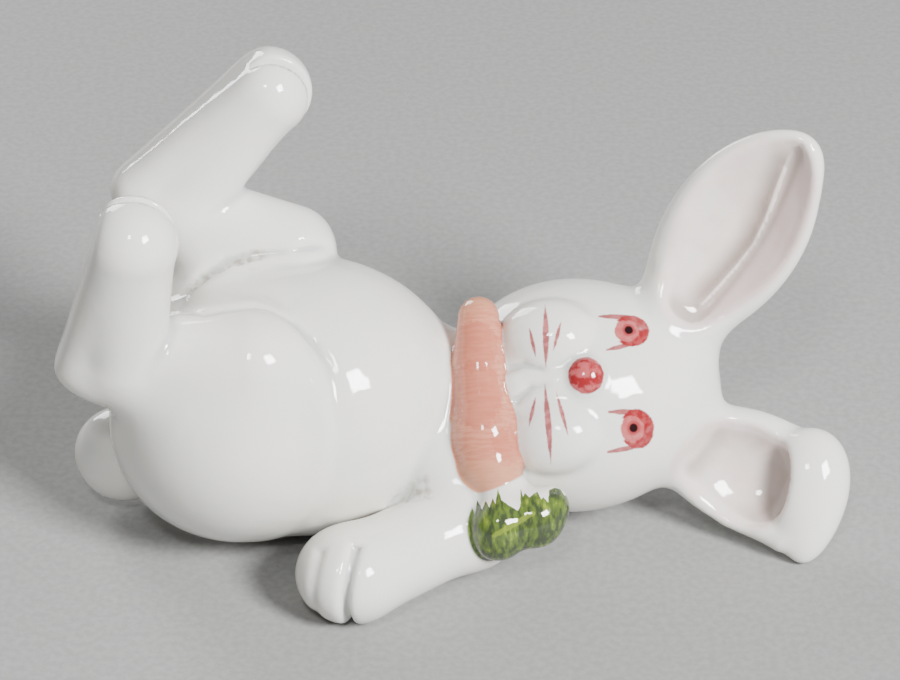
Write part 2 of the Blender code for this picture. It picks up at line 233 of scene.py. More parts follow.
def half_height_of_head():
    roll = math.radians(HEAD_ROLL)
    return math.hypot(HEAD_WIDTH / 2 * math.sin(roll), HEAD_DEPTH / 2 * math.cos(roll))


HEAD_PLACE = on_torso(1, 0.1, 0) + Vector((0.53 * HEAD_LENGTH, 0, 0))
HEAD_PLACE.z = half_height_of_head() + HEAD_LIFT


def trunk(clay):
    torso = clay.egg(at(*TORSO), (TORSO_LENGTH / 2, TORSO_WIDTH / 2, TORSO_HEIGHT / 2))
    nape = HEAD_PLACE - Vector((0.27 * HEAD_LENGTH, 2, 0))
    neck = clay.limb(on_torso(0.73, 0, 0), nape, NECK_THICKNESS / 2, NECK_THICKNESS / 2 + 1)
    round_tail = (TAIL_WIDTH / 2 + 2, TAIL_WIDTH / 2, TAIL_LENGTH / 2)
    tail = clay.egg(at(*on_torso(-1.1, 0, -0.53), (0, -6, 0)), round_tail)
    return clay.melt(4, clay.melt(8, torso, neck), tail)


# The hind legs
# Both legs are in the air. Each haunch swells out of the trunk and ends in a pressed crease. The
# long feet have a flat sole at their back, and a cleft beside the smaller, inner toe.

HAUNCH_LENGTH = 62
HAUNCH_WIDTH = 43
HAUNCH_HEIGHT = 68
HAUNCH_BULGE = 2
SHANK_LENGTH = 45
SHANK_THICKNESS = 25
FOOT_LENGTH = 64
FOOT_WIDTH = 24
FOOT_THICKNESS = 23
HEEL_THICKNESS = 16
TOE_GROOVE_WIDTH = 2.2
TOE_GROOVE_DEPTH = 1.8


def haunch(clay, side, middle):
    bulge = HAUNCH_BULGE / 2
    over = clay.egg(
        at(TORSO.x - bulge, TORSO.y + side * bulge, TORSO.z),
        (TORSO_LENGTH / 2 + bulge, TORSO_WIDTH / 2 + bulge, TORSO_HEIGHT / 2 + bulge),
    )
    long, wide, high = HAUNCH_LENGTH / 2, HAUNCH_WIDTH / 2, HAUNCH_HEIGHT / 2
    outline = clay.egg(at(*middle, (32 * side, 0, 0)), (long, 90, high), solid=False)
    edge = clay.number("SMOOTH_MAX", over, outline, 5)
    round_part = (long * 1.15, wide * 1.68, high * 1.05)
    ball = clay.egg(at(middle.x + 4.2, middle.y - side * 5.4, middle.z + 1.3), round_part)
    rump = clay.egg(at(middle.x, middle.y + side, middle.z - 1), (long, wide, high - 1))
    return clay.melt(6, clay.melt(4, edge, ball), rump)


def hind_foot(clay, side, heel, rise, front, across):
    half = FOOT_THICKNESS / 2
    spread = FOOT_WIDTH / FOOT_THICKNESS
    toe = heel + rise * (FOOT_LENGTH - half - HEEL_THICKNESS / 2)
    body = clay.limb(heel, toe, HEEL_THICKNESS / 2, half, across, spread)
    ankle = heel + front * half * 0.78 + rise * half * 0.6
    instep = clay.limb(ankle, toe - rise * 2, half, half, across, spread)
    low = heel - front * (HEEL_THICKNESS / 2 - 0.9)
    high = toe - front * (half - 1.4)
    outward = (high - low).cross(across).normalized()
    beyond = clay.vector("DOT_PRODUCT", clay.point, tuple(outward))
    beyond = clay.number("SUBTRACT", beyond, low.dot(outward))
    foot = clay.number("SMOOTH_MAX", clay.melt(3, body, instep), beyond, 3)
    middle = toe - across * side * half * 0.33
    leaning = aimed(middle - rise * 2, middle + front * 0.8, across)
    cleft = clay.groove(leaning, half - TOE_GROOVE_DEPTH, TOE_GROOVE_WIDTH)
    crest = middle + front * (half + 0.4)
    width = TOE_GROOVE_WIDTH / 2
    seam = clay.limb(crest - rise, crest - rise * 11 + front, width, width * 0.8, solid=False)
    return clay.carve(1.6, foot, cleft, seam)


def hind_leg(clay, side, knee, back, rise):
    """Knee is in half shares of the haunch, back is in shank lengths, and rise is the foot's way up."""
    middle = on_torso(-0.42, 0.37 * side, 0)
    half = Vector((HAUNCH_LENGTH, HAUNCH_WIDTH * side, HAUNCH_HEIGHT)) / 2
    knee = middle + Vector(a * b for a, b in zip(knee, half))
    heel = knee + Vector(back) * SHANK_LENGTH
    rise = Vector(rise).normalized()
    front = Vector((0, 1, 0)).cross(rise).normalized()
    across = rise.cross(front)
    thick = SHANK_THICKNESS / 2
    shank = clay.limb(knee, heel + front * 5, thick, thick * 0.8)
    belly = knee.lerp(heel, 0.42) - Vector((0, 0, thick * 0.72))
    calf = clay.limb(belly, heel + front * 8 + rise * 2, thick, thick * 0.8)
    leg = clay.melt(14, haunch(clay, side, middle), clay.melt(4, shank, calf))
    return clay.melt(5, leg, hind_foot(clay, side, heel, rise, front, across))


def hind_legs(clay):
    near = hind_leg(clay, -1, (0.26, 0.37, 0.79), (-1.004, 0.044, -0.024), (0.36, -0.13, 0.924))
    far = hind_leg(clay, 1, (0.53, 0.23, 1.02), (-0.886, 0.067, 0.418), (0.79, 0.12, 0.6))
    return near, far


# The pressed creases, as places on the surface with the tool's width there.
HAUNCH_CREASE = [
    ((-77, -5.3, 73.1), 0.6), ((-70.9, -14, 75.2), 1.4), ((-66.5, -16.5, 76.2), 1.8),
    ((-59.9, -15.6, 76.9), 1.8), ((-53.2, -14.3, 77), 1.8), ((-48.9, -15.3, 76.4), 1.6),
    ((-43.1, -17.9, 73.7), 1.4), ((-37.6, -21.3, 69.5), 1.2), ((-33.8, -25.5, 65.7), 1),
    ((-31.8, -29.7, 61.6), 0.8), ((-31, -34.3, 56.1), 0.5), ((-30.9, -38.8, 50), 0.3),
]
BELLY_CREASE = [
    ((-74.4, 0, 72.5), 1.2), ((-68.9, 3.9, 73.8), 2), ((-61.9, 6.2, 77.2), 2.2),
    ((-54.6, 7.1, 78.9), 2.2), ((-44.5, 8.2, 79.4), 1.8), ((-34.4, 13.9, 77), 1),
]


def pressed(clay, crease):
    """The path of the tool that presses a crease."""
    points, widths = zip(*crease)
    return clay.chain([Vector(point) for point in points], widths, solid=False)


# The forelegs
# The forelegs spread to both sides and lie on the table. Two pressed grooves part each paw into
# three round toes. The far one is hidden in most views, and mirrors the near one.

ARM_LENGTH = 38
ARM_THICKNESS = 25
PAW_WIDTH = 28
PAW_HEIGHT = 24
PAW_GROOVE_DEPTH = 1.4


def arm(clay, side):
    thick = ARM_THICKNESS / 2
    wide = PAW_WIDTH / 2
    shoulder = on_torso(1.04, 0.73 * side, 0)
    shoulder.z = thick + 2.5
    paw = shoulder + Vector((-0.866, 0.5 * side, 0)) * ARM_LENGTH
    paw.z = thick
    sleeve = clay.limb(shoulder, paw + Vector((2.5, 0, 0)), thick - 0.9, thick + 0.3)
    hand = clay.egg(at(*paw), (wide, wide, PAW_HEIGHT / 2))
    chest = clay.limb(on_torso(0.9, 0.31 * side, -0.28), shoulder, 17, thick)
    whole = clay.melt(6, clay.melt(8, sleeve, chest), hand)
    out = Vector((-0.3, side, -0.25)).normalized()
    cuts = []
    for shift in (-0.45, 0.26):
        length = math.sqrt(1 - shift ** 2) * wide
        middle = paw + Vector((shift * wide, 0, 0)) + out * 0.8
        turned = aimed(middle, middle + out, (1, 0.3 * side, 0))
        cuts.append(clay.groove(turned, length - 0.8 - PAW_GROOVE_DEPTH, TOE_GROOVE_WIDTH))
    return clay.carve(3.2, whole, *cuts)


# The head
# The head lies on its side and faces the viewer. Two round muzzle pads, a lip and a button nose
# are modelled on it. Nose, eyes and whiskers are brushed on in pinkish red under the glaze.

PAD_WIDTH = 26
PAD_DEPTH = 20.4
NOSE_WIDTH = 10
HEAD_FRAME = at(*HEAD_PLACE, (HEAD_ROLL, 0, 0)) @ at(0, 0, 0, (0, 0, HEAD_YAW))


def shade(red, green, blue):
    """A colour from its usual values of 0 to 255."""
    values = [v / 255 for v in (red, green, blue)]
    return tuple(v / 12.92 if v < 0.04 else ((v + 0.055) / 1.055) ** 2.4 for v in values) + (1,)


FACE_RED = shade(146, 42, 46)
FACE_PALE_RED = shade(186, 90, 92)
FACE_THIN_RED = shade(192, 106, 104)
PUPIL_DARK = shade(40, 22, 24)
LIP_CREASES = [
    [((12.8, -10.9, 53.6), 2.2), ((17.5, -11.5, 55.6), 2), ((22.6, -13.4, 55.6), 1)],
    [((15.4, -17.4, 47.8), 2.2), ((19.1, -16.5, 51.3), 2), ((23.1, -16.5, 52.6), 1)],
]


def on_head(x, y, z, turn=(0, 0, 0)):
    """A frame on the head: x to the crown, y to its upper side, z out of the face, as half shares."""
    return HEAD_FRAME @ at(x * HEAD_LENGTH / 2, y * HEAD_WIDTH / 2, z * HEAD_DEPTH / 2, turn)


def head_point(x, y, z):
    return on_head(x, y, z).to_translation()


def head(clay):
    skull_radii = (HEAD_DEPTH / 2, HEAD_WIDTH / 2, HEAD_LENGTH / 2)
    skull = clay.egg(on_head(-0.173, 0, 0, (0, 90, 0)), skull_radii, 0.096)
    pad_radii = (PAD_WIDTH / 2 + 0.8, PAD_WIDTH / 2 - 1.8, PAD_DEPTH / 2)
    pads = [clay.egg(on_head(-0.425, y, 0.69, (0, -8, 0)), pad_radii) for y in (0.42, -0.37)]
    face = clay.melt(2.4, skull, clay.melt(2.0, *pads))
    bridge = clay.limb(head_point(-0.27, 0.065, 0.85), head_point(-0.68, 0.07, 0.77), 3.4, 4.4)
    nose = clay.egg(on_head(-0.194, 0.066, 0.993), (NOSE_WIDTH / 2, NOSE_WIDTH / 2, NOSE_WIDTH * 0.3))
    face = clay.melt(1.6, clay.melt(3, face, bridge), nose)
    return clay.carve(1.6, face, *[pressed(clay, crease) for crease in LIP_CREASES])


class Paint(Nodes):
    """Layers of colour in one material, each laid over the last with a mask."""

    def __init__(self, tree):
        super().__init__(tree)
        place = self.node("ShaderNodeTexCoord").outputs["Object"]
        self.place = self.scaled(place, 1000.0)
        self.face = self.seen_from(HEAD_FRAME)
        self.colour = None

    def seen_from(self, frame):
        """Millimetres in a frame's own coordinates."""
        turned = self.node("ShaderNodeMapping", (self.place,), vector_type="TEXTURE")
        turned.inputs["Location"].default_value = frame.to_translation()
        turned.inputs["Rotation"].default_value = frame.to_euler()
        return turned.outputs[0]

    def attribute(self, name):
        return self.node("ShaderNodeAttribute", attribute_name=name).outputs["Fac"]

    def noise(self, point, size, detail=2.0):
        """A cloudy value round 0.5 whose patches are about as wide as size, in millimetres."""
        made = self.node("ShaderNodeTexNoise", (point,))
        made.inputs["Scale"].default_value = 1 / size
        made.inputs["Detail"].default_value = detail
        return made.outputs[0]

    def curve(self, value, places):
        """The height of a polyline over a value."""
        ends = [(min(axis), max(axis)) for axis in zip(*places)]
        made = self.node("ShaderNodeFloatCurve")
        line = made.mapping.curves[0]
        for _ in places[2:]:
            line.points.new(0.5, 0.5)
        for point, place in zip(line.points, places):
            point.location = [(p - low) / (high - low) for p, (low, high) in zip(place, ends)]
            point.handle_type = "VECTOR"
        made.mapping.update()
        self.feed(made.inputs["Value"], self.between(value, *ends[0], kind="LINEAR"))
        return self.between(made.outputs[0], 0, 1, *ends[1], kind="LINEAR")

    def mixed(self, share, low, high):
        made = self.node("ShaderNodeMix", data_type="RGBA")
        for place, value in ((0, share), (6, low), (7, high)):
            self.feed(made.inputs[place], value)
        return made.outputs[2]

    def lay(self, mask, colour):
        self.colour = self.mixed(mask, self.colour, colour)

    def group(self, tree, **values):
        made = self.node("ShaderNodeGroup", node_tree=tree)
        for name, value in values.items():
            self.feed(made.inputs[name.capitalize()], value)
        return made.outputs[0]

    def all_of(self, *masks):
        joined = masks[0]
        for mask in masks[1:]:
            joined = self.number("MULTIPLY", joined, mask)
        return joined

    def any_of(self, *masks):
        joined = masks[0]
        for mask in masks[1:]:
            joined = self.number("MAXIMUM", joined, mask)
        return joined

    def stroke(self, start, end, width, ragged, pointed=1.0):
        """A brush stroke on the face between two places there, in millimetres."""
        values = {"width": width, "ragged": ragged, "pointed": pointed}
        return self.group(BRUSH_STROKE, point=self.face, start=start, end=end, **values)

    def spot(self, centre, radii, ragged):
        """A painted spot on the face, in millimetres."""
        return self.group(PAINTED_SPOT, point=self.face, centre=centre, radii=radii, ragged=ragged)


def ragged_edge(nodes, point, ragged):
    """Moves a painted edge in and out by up to about ragged."""
    cloud = nodes.node("ShaderNodeTexNoise", (point,))
    cloud.inputs["Scale"].default_value = 0.7
    cloud.inputs["Detail"].default_value = 3
    return nodes.number("MULTIPLY", nodes.number("SUBTRACT", cloud.outputs[0], 0.5), ragged)


def brush_stroke():
    """A group whose mask is a stroke from start to end, as seen along the point's own Z."""
    nodes = Nodes(bpy.data.node_groups.new("brush_stroke", "ShaderNodeTree"))
    for name in ("Point", "Start", "End"):
        nodes.socket(name, "Vector")
    for name, value in (("Width", 1.5), ("Ragged", 0.5), ("Pointed", 1.0)):
        nodes.socket(name, "Float", value)
    nodes.socket("Mask", "Float", way="OUTPUT")
    given = nodes.node("NodeGroupInput").outputs
    point = nodes.vector("MULTIPLY", given["Point"], (1, 1, 0))
    from_start = nodes.vector("SUBTRACT", point, given["Start"])
    line = nodes.vector("SUBTRACT", given["End"], given["Start"])
    length = nodes.vector("DOT_PRODUCT", line, line)
    share = nodes.number("DIVIDE", nodes.vector("DOT_PRODUCT", from_start, line), length)
    share = nodes.between(share, 0, 1, kind="LINEAR")
    gap = nodes.vector("LENGTH", nodes.vector("SUBTRACT", from_start, nodes.scaled(line, share)))
    gap = nodes.number("ADD", gap, ragged_edge(nodes, given["Point"], given["Ragged"]))
    swell = nodes.number("SINE", nodes.number("MULTIPLY", share, math.pi))
    swell = nodes.number("SUBTRACT", swell, 1)
    swell = nodes.number("MULTIPLY_ADD", swell, given["Pointed"], 1)
    half = nodes.number("MULTIPLY", nodes.number("MULTIPLY", given["Width"], swell), 0.5)
    edge = nodes.number("SUBTRACT", gap, half)
    nodes.node("NodeGroupOutput", (nodes.between(edge, 0.2, -0.2),))
    return nodes.tree


def painted_spot():
    """A group whose mask is a round or oval spot, as seen along the point's own Z."""
    nodes = Nodes(bpy.data.node_groups.new("painted_spot", "ShaderNodeTree"))
    for name, value in (("Point", (0, 0, 0)), ("Centre", (0, 0, 0)), ("Radii", (1, 1, 1))):
        nodes.socket(name, "Vector", value)
    nodes.socket("Ragged", "Float", 0.5)
    nodes.socket("Mask", "Float", way="OUTPUT")
    given = nodes.node("NodeGroupInput").outputs
    from_centre = nodes.vector("SUBTRACT", given["Point"], given["Centre"])
    flat = nodes.vector("MULTIPLY", from_centre, (1, 1, 0))
    size = nodes.vector("LENGTH", nodes.vector("DIVIDE", flat, given["Radii"]))
    wide = nodes.split(given["Radii"])[0]
    edge = nodes.number("MULTIPLY", nodes.number("SUBTRACT", size, 1), wide)
    edge = nodes.number("ADD", edge, ragged_edge(nodes, given["Point"], given["Ragged"]))
    nodes.node("NodeGroupOutput", (nodes.between(edge, 0.25, -0.25),))
    return nodes.tree


BRUSH_STROKE = brush_stroke()
PAINTED_SPOT = painted_spot()

# Places on the face in millimetres: the ends and width of each stroke, each eye's centre, radii and
# pupil, and the nose's centre and radii.
WHISKERS = [
    ((-16.7, 22.3, 0), (-17.8, 5.2, 0), 1.7),
    ((-21.5, 16.1, 0), (-20.3, 8.1, 0), 1.0),
    ((-12.9, 17.0, 0), (-15.6, 9.3, 0), 1.0),
    ((-18.4, 0.8, 0), (-18.3, -20.4, 0), 1.7),
    ((-21.0, -2.2, 0), (-23.5, -10.4, 0), 1.0),
    ((-15.6, -1.3, 0), (-13.3, -13.8, 0), 1.1),
]
LIDS = [
    ((-2.3, 18.6, 0), (8.2, 17.9, 0), 1.5),
    ((-1.1, 8.9, 0), (7.0, 10.5, 0), 1.3),
    ((-1.8, -7.8, 0), (6.6, -8.2, 0), 1.5),
    ((-2.7, -18.2, 0), (6.0, -17.0, 0), 1.3),
]
EYES = [
    ((6.1, 14.1, 0), (4.9, 4.5, 1), (5.4, 14.3, 0)),
    ((5.5, -12.5, 0), (4.7, 5.2, 1), (4.6, -12.3, 0)),
]
NOSE_SPOT = ((-7.3, 2.2, 0), (4.8, 5.0, 1))
IRIS_SHARE = 0.68
IRIS_SHIFT = 1.3
RING_GAP = (1.6, 2.9, 1)
RING_GAP_SHIFT = 4.2
PUPIL_SPOT = (1.15, 1.15, 1)
PUPIL_HALO = (1.8, 1.8, 1)


def paint_face(paint):
    front = paint.between(paint.split(paint.face)[2], 8, 10)
    wash = paint.between(paint.noise(paint.face, 1.6, 3), 0.4, 0.65)
    red = paint.mixed(paint.number("MULTIPLY", wash, 0.5), FACE_RED, FACE_PALE_RED)
    thin = paint.mixed(wash, FACE_RED, FACE_PALE_RED)
    for start, end, width in WHISKERS:
        brushed = paint.all_of(front, paint.stroke(start, end, width, 0.5))
        paint.lay(paint.number("MULTIPLY", brushed, 0.9), thin)
    for start, end, width in LIDS:
        brushed = paint.all_of(front, paint.stroke(start, end, width, 0.4, 0.6))
        paint.lay(paint.number("MULTIPLY", brushed, 0.9), red)
    for centre, radii, pupil in EYES:
        x, y, _ = centre
        disc = paint.spot(centre, radii, 0.9)
        gap = paint.spot((x - RING_GAP_SHIFT, y, 0), RING_GAP, 0.9)
        ring = paint.all_of(disc, paint.number("SUBTRACT", 1, gap))
        paint.lay(paint.all_of(front, ring), red)
        iris = paint.spot((x - IRIS_SHIFT, y, 0), [r * IRIS_SHARE for r in radii], 1.2)
        paint.lay(paint.all_of(front, iris), paint.mixed(wash, FACE_PALE_RED, FACE_THIN_RED))
        halo = paint.all_of(front, paint.spot(pupil, PUPIL_HALO, 0.9))
        paint.lay(paint.number("MULTIPLY", halo, 0.6), FACE_RED)
        paint.lay(paint.all_of(front, paint.spot(pupil, PUPIL_SPOT, 0.4)), PUPIL_DARK)
    blotches = paint.between(paint.noise(paint.face, 2.6, 3), 0.42, 0.6)
    nose = paint.mixed(blotches, FACE_RED, FACE_PALE_RED)
    paint.lay(paint.all_of(front, paint.spot(*NOSE_SPOT, 0.6)), nose)


# The ears
# One ear stands up, with a deep valley and a thin rib in its bowl. The other lies out from the
# crown with its tip folded over. Both bowls were washed with a very pale pink.

EAR_LENGTH = 70
EAR_WIDTH = 38
EAR_THICKNESS = 15
EAR_WALL = 3.2
EAR_PINK = shade(232, 208, 204)
EAR_SHADOW = shade(150, 132, 122)

# The upright ear's own frame has its Z along the ear and its Y out of the bowl.
EAR_ROOT = head_point(0.48, 0.5, 0.148)
EAR_RISE = Vector((0.486, 0.106, 0.867)).normalized()
EAR_FRAME = aimed(EAR_ROOT + EAR_RISE * 8, EAR_ROOT + EAR_RISE * 9, (0, -0.82, 0.57))
EAR_FRAME = EAR_FRAME @ at(0, 0, 0.355 * EAR_LENGTH)

# The rib's course down the bowl in that frame, with its width.
EAR_RIB = [
    ((-1.6, -1.8, 23), 0.8), ((-2.6, -2.9, 18.9), 1.4), ((-5.3, -4.1, 7.5), 1.7),
    ((-6.3, -3.6, -0.3), 1.7), ((-5.6, -2.1, -8), 1.7), ((-4.4, 0.2, -14.8), 1.6),
    ((-3.1, 2.7, -20.3), 1),
]


def upright_ear(clay):
    """The ear, and how far a point is from its bowl."""
    wide, long = EAR_WIDTH / 2, 0.46 * EAR_LENGTH
    blade = clay.egg(EAR_FRAME, (wide, EAR_THICKNESS / 2, long))
    point = clay.egg(EAR_FRAME @ at(-2, 0, 0.67 * long, (0, -7, 0)), (wide / 2, 5, 0.42 * long))
    stem = clay.limb(EAR_ROOT, EAR_ROOT + EAR_RISE * 14, 12.5, 10.5, (1, 0, 0), 1.2)
    floor = EAR_WALL - EAR_THICKNESS / 2
    left = clay.egg(EAR_FRAME @ at(-14.5, 59.8 + floor, 9), (60, 60, 66), solid=False)
    right = clay.egg(EAR_FRAME @ at(25.6, 51.3 + floor, 6), (60, 60, 60), solid=False)
    rim = clay.egg(EAR_FRAME @ at(0, 0, 3.7), (wide - 1.2, 60, 0.93 * long), solid=False)
    bowl = clay.number("SMOOTH_MAX", clay.number("SMOOTH_MAX", left, right, 0.6), rim, 6)
    whole = clay.carve(3.5, clay.melt(6, clay.melt(7, blade, point), stem), bowl)
    bends, widths = zip(*EAR_RIB)
    rib = clay.chain([EAR_FRAME @ Vector(bend) for bend in bends], widths, solid=False)
    return clay.melt(1.6, whole, rib), bowl


def folded_ear(clay):
    """The ear, and how far a point is from its bowl."""
    root = head_point(0.533, -0.469, 0.037)
    lie = aimed(root, root + Vector((17, -4, -4.5)), (0, -0.82, 0.57))
    long, wide, thick = 0.357 * EAR_LENGTH, 0.43 * EAR_WIDTH, 0.4 * EAR_THICKNESS
    blade = clay.egg(lie @ at(-1.6, -1, 0.296 * EAR_LENGTH), (wide, thick + 0.5, long))
    stem = clay.limb(root, lie @ Vector((0, 0, 15)), 9.5, 8, (0, 0.57, 0.82), 1.3)
    fold_frame = lie @ at(-2.8, 2.9, 0.52 * EAR_LENGTH, (0, -77, 0))
    fold = clay.egg(fold_frame, (0.28 * EAR_WIDTH, thick + 1.5, 0.265 * EAR_LENGTH), 0.2)
    rim = clay.limb(lie @ Vector((-14.4, -0.7, 18.7)), lie @ Vector((-16.4, 2.5, 33)), 2.8, 3.4)
    hollow = (wide - 1.6, thick + 2.5, 0.243 * EAR_LENGTH)
    cup = clay.egg(lie @ at(-4, thick + 0.5, 0.22 * EAR_LENGTH, (14, 0, 0)), hollow, solid=False)
    whole = clay.melt(5, clay.melt(8, blade, stem), fold, rim)
    return clay.carve(4, whole, cup), cup


# The valley's course up the ear, as places along its length and across it.
EAR_VALLEY = [
    (-24, -2.6), (-14.8, -4.4), (-8, -5.6), (-0.3, -6.3), (7.5, -5.3), (18.9, -2.6), (27, -1),
]


def paint_ears(paint):
    bowl = paint.between(paint.attribute("ear_gap"), 2.5, 0)
    cloud = paint.between(paint.noise(paint.place, 9), 0.3, 0.7, 0.3, 0.7)
    paint.lay(paint.all_of(bowl, cloud), EAR_PINK)
    x, _, z = paint.split(paint.seen_from(EAR_FRAME))
    beside = paint.number("SUBTRACT", x, paint.curve(z, EAR_VALLEY))
    upright = paint.all_of(bowl, paint.between(z, -27, -17), paint.between(z, 31, 24))
    paint.lay(paint.all_of(upright, paint.between(beside, 0, -3, 0, 0.7)), EAR_PINK)
    shadow = paint.all_of(paint.between(beside, 8, 1), paint.between(beside, 0, 0.7))
    paint.lay(paint.all_of(upright, paint.number("MULTIPLY", shadow, 0.75)), EAR_SHADOW)
    deep = paint.between(paint.attribute("hollow"), 0.03, 0.35)
    paint.lay(paint.number("MULTIPLY", paint.all_of(bowl, deep), 0.5), EAR_SHADOW)


# The carrot and its leaves
# A carrot lies across the throat, with a lump of leaves below its thick end. Both were pressed on
# while the clay was soft. The carrot has salmon cross strokes, and the leaves have ragged tips and a
# lighter green stroke painted along their ridge as a highlight.

CARROT_LENGTH = 54
CARROT_THICKNESS = 18
CARROT_TIP = 11.2
LEAVES_WIDTH = 24
LEAVES_DEPTH = 15.5
CARROT_SALMON = shade(208, 132, 102)
CARROT_RED = shade(184, 88, 62)
CARROT_TAN = shade(200, 140, 104)
LEAF_GREEN = shade(76, 102, 0)
LEAF_DARK = shade(30, 48, 2)
LEAF_VEIN_AND_HIGHLIGHT = shade(132, 152, 22)


def carrot_end():
    return head_point(-0.92, -0.578, 0.704)


def carrot(clay):
    low = carrot_end()
    reach = CARROT_LENGTH - CARROT_THICKNESS / 2 - CARROT_TIP / 2
    axes = HEAD_FRAME.to_3x3()
    high = low + axes @ Vector((0, reach, 0))
    bow = axes @ Vector((-1.2, 0, 1.2))
    shares = (0, 0.33, 0.67, 1)
    points = [high.lerp(low, share) + bow * math.sin(math.pi * share) for share in shares]
    swell = CARROT_THICKNESS - CARROT_TIP
    bar = clay.chain(points, [CARROT_TIP + swell * share ** 0.8 for share in shares])
    thick = CARROT_THICKNESS / 2
    middle = Matrix.Translation(high.lerp(low, 0.8) + bow * 0.6) @ axes.to_4x4()
    return clay.melt(2, bar, clay.egg(middle, (thick + 0.4, thick * 1.3, thick + 0.4)))


def leaves(clay):
    low = carrot_end()
    crown = low + Vector((7.3, -12.2, -11.4))
    half, deep = LEAVES_WIDTH / 2, LEAVES_DEPTH / 2
    apart = Vector((0.4 * half, 1.3, 0.8))
    left = clay.egg(at(*(crown - apart)), (half * 0.66, deep, deep * 1.16))
    right = clay.egg(at(*(crown + apart)), (half * 0.68, deep, deep * 1.06))
    corner = clay.egg(at(*(crown + Vector((9, 3.1, 3.4)))), (5.2, 6, 5.6))
    stem = clay.limb(low + Vector((0.7, -1, -4)), crown + Vector((0, 3.3, 0.8)), 7.5, 7)
    return clay.melt(5, left, clay.melt(3, right, corner), stem)


# Redder patches of the carrot, and the ragged upper edge of the green, as places on the face.
CARROT_BLUSHES = [
    ((-37, -1, 0), (7, 9, 1)),
    ((-29.5, -15, 0), (4, 5, 1)),
    ((-36, 12, 0), (6, 7, 1)),
]
LEAF_EDGE = [
    (-41, -33), (-39.9, -30.3), (-39.2, -32.6), (-38.2, -28.6), (-37.2, -31.6), (-36.1, -29.2),
    (-35.2, -31.2), (-34.2, -28.6), (-33.5, -30.4), (-32.7, -25.9), (-31.9, -29.4), (-30, -31),
    (-27.8, -32.6), (-27, -31.5), (-26.5, -26.3), (-26.1, -29), (-25.6, -27.8), (-24.4, -29.2),
    (-23.2, -28.2), (-22.1, -27.7), (-21.3, -30), (-20.6, -29.4), (-19.6, -31), (-18.9, -27.4),
    (-17.4, -26.8), (-15.9, -27.2), (-15, -29),
]


def paint_carrot(paint):
    x, y, _ = paint.split(paint.face)
    skin = paint.between(paint.attribute("carrot_gap"), 1.0, 0.4)
    side = paint.number("ADD", x, paint.number("MULTIPLY", paint.noise(paint.face, 5), 1.5))
    skin = paint.all_of(skin, paint.between(side, -44.4, -43.4))
    across = paint.vector("MULTIPLY", paint.face, (0.14, 1, 0.3))
    brushed = paint.between(paint.noise(across, 0.8, 4), 0.38, 0.64)
    colour = paint.mixed(paint.number("MULTIPLY", brushed, 0.5), CARROT_SALMON, CARROT_RED)
    for centre, radii in CARROT_BLUSHES:
        cloud = paint.spot(centre, radii, 5)
        colour = paint.mixed(paint.number("MULTIPLY", cloud, 0.5), colour, CARROT_RED)
    ends = paint.any_of(paint.between(y, -16, -22), paint.between(y, 20, 26))
    colour = paint.mixed(paint.number("MULTIPLY", ends, 0.6), colour, CARROT_TAN)
    paint.lay(paint.number("MULTIPLY", skin, 0.94), colour)


def paint_leaves(paint):
    lump = paint.between(paint.attribute("leaves_gap"), 1.4, 0.6)
    x, y, _ = paint.split(paint.face)
    wavy = paint.number("ADD", x, paint.number("MULTIPLY", paint.noise(paint.face, 1.5), 0.6))
    edge = paint.curve(wavy, LEAF_EDGE)
    tips = paint.between(paint.number("SUBTRACT", y, edge), 0.15, -0.15)
    veins = paint.noise(paint.vector("MULTIPLY", paint.face, (1, 0.35, 0.4)), 1.3, 4)
    colour = paint.mixed(paint.between(veins, 0.38, 0.6), LEAF_DARK, LEAF_GREEN)
    colour = paint.mixed(paint.between(veins, 0.58, 0.75), colour, LEAF_VEIN_AND_HIGHLIGHT)
    # A lighter green stroke painted along the leaves' ridge, as a highlight.
    ridge_highlight = paint.stroke((-35, -39, 0), (-24, -33.5, 0), 1.6, 1.2, 0.4)
    colour = paint.mixed(paint.number("MULTIPLY", ridge_highlight, 0.6), colour, LEAF_VEIN_AND_HIGHLIGHT)
    paint.lay(paint.number("MULTIPLY", paint.all_of(lump, tips), 0.96), colour)


# The casting
# Body, legs, head, ears, carrot and leaves become one piece of clay: the joints were sponged smooth,
# so soft fillets run round them, and the hand-finished surface is never quite even.

SPACING = 0.99
UNEVENNESS = 0.25
UNEVENNESS_SIZE = 22
SEAT_GAP = 0.15
BOX_MARGIN = 3
CREASE_SOFTNESS = 4
HOLLOW_REACH = 14


def figure(clay):
    """The whole form, and the gaps to what is painted on it."""
    body = clay.melt(2.5, trunk(clay), *hind_legs(clay))
    body = clay.melt(6, body, arm(clay, -1), arm(clay, 1))
    ear_up, bowl_up = upright_ear(clay)
    ear_down, bowl_down = folded_ear(clay)
    skull = clay.melt(6, head(clay), ear_up, ear_down)
    root, greens = carrot(clay), leaves(clay)
    whole = clay.melt(1.5, clay.melt(4, body, skull), root, greens)
    creases = [pressed(clay, crease) for crease in (HAUNCH_CREASE, BELLY_CREASE)]
    whole = clay.carve(CREASE_SOFTNESS, whole, *creases)
    cloud = clay.node("ShaderNodeTexNoise", (clay.point, None, 1 / UNEVENNESS_SIZE, 1.0)).outputs[0]
    cloud = clay.number("SUBTRACT", cloud, 0.5)
    cloud = clay.number("MULTIPLY", cloud, clay.size("Unevenness", UNEVENNESS))
    whole = clay.number("ADD", whole, cloud)
    height = clay.split(clay.point)[2]
    bowls = clay.number("MINIMUM", bowl_up, bowl_down)
    gaps = {"carrot_gap": root, "leaves_gap": greens, "ear_gap": bowls}
    return clay.carve(1.0, whole, height), gaps


